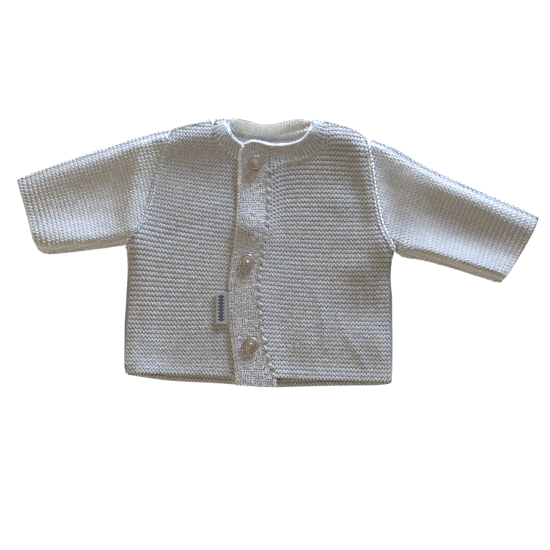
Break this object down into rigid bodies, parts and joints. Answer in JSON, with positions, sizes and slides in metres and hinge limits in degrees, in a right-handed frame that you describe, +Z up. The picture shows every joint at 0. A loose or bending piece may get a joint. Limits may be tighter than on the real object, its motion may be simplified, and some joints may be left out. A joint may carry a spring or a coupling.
{
  "type": "baby cardigan",
  "caption": "Long-sleeved garter-knit baby cardigan with a round ribbed neckband and a buttoned front band, laid flat on its back.",
  "frame": {"origin": "middle of the garment's box, on the surface that it lies on", "axes": "+X to the wearer's left sleeve, +Y to the neck, +Z up from the surface, through back, front and buttons"},
  "size_m": [0.4432, 0.229, 0.0124],
  "materials": {
    "garter_knit": "white cotton garter knit, matt",
    "band_knit": "white cotton fine knit, matt",
    "pearl_button": "pearly, polished",
    "woven_label": "fine woven tape, slight sheen"
  },
  "bodies": {
    "root": {"back_panel": "garter_knit", "front_right": "garter_knit", "front_left": "garter_knit", "sleeve_right": "garter_knit", "sleeve_left": "garter_knit", "neckband": "band_knit", "button_band": "band_knit", "buttonhole_band": "band_knit", "button_1": "pearl_button", "button_2": "pearl_button", "button_3": "pearl_button", "label": "woven_label"}
  },
  "joints": []
}
